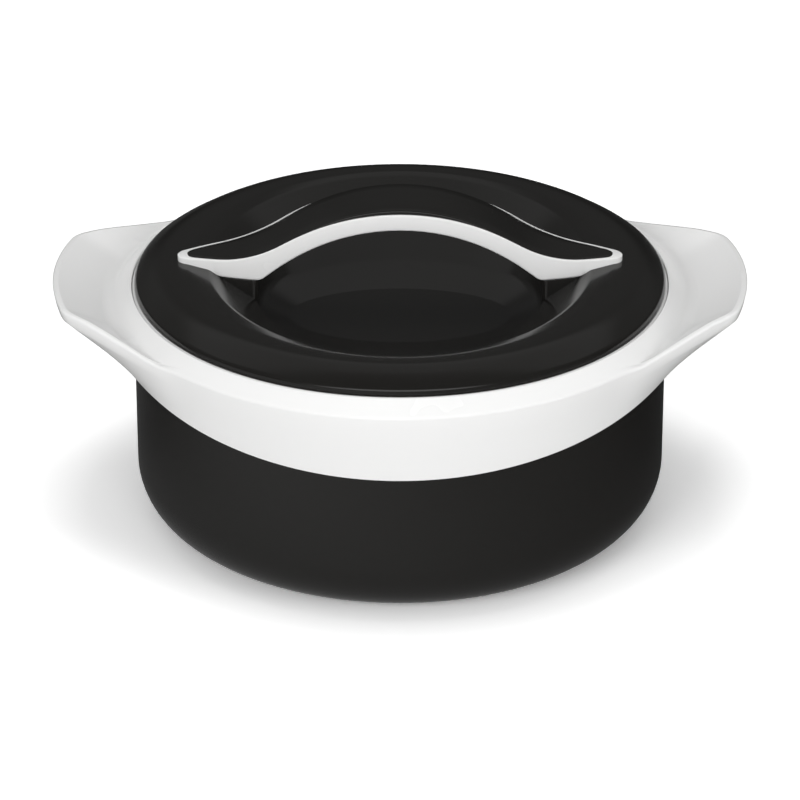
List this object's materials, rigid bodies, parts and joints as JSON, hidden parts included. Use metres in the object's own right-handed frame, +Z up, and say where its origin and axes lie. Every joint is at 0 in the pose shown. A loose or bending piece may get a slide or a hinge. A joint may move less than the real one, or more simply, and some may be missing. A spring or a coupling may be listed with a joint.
{
  "type": "insulated casserole",
  "caption": "Round insulated serving casserole with a two-eared collar, a steel bowl and a dished lid that lifts off by an arched handle.",
  "frame": {"origin": "centre of the foot ring, on the surface the casserole stands on", "axes": "+Z up; X through both ears and along the lid's handle; the front faces -Y"},
  "size_m": [0.286, 0.2364, 0.1387],
  "materials": {
    "black_plastic": "gloss",
    "white_plastic": "gloss",
    "foam": "matte",
    "steel": "polished",
    "screw_steel": "zinc"
  },
  "bodies": {
    "casserole": {"outer_body": "black_plastic", "body_plug": "black_plastic", "body_insulation": "foam", "inner_bowl": "steel", "handle_collar": "white_plastic"},
    "lid": {"lid_cover": "black_plastic", "lid_liner": "white_plastic", "lid_insulation": "foam", "lid_plug": "white_plastic", "handle_bow": "white_plastic", "handle_insert": "black_plastic", "handle_screws": "screw_steel"}
  },
  "joints": [
    {"name": "lid_lift", "type": "slide", "parent": "casserole", "child": "lid", "axis": [0, 0, 1], "range_m": [0, 0.15]}
  ]
}
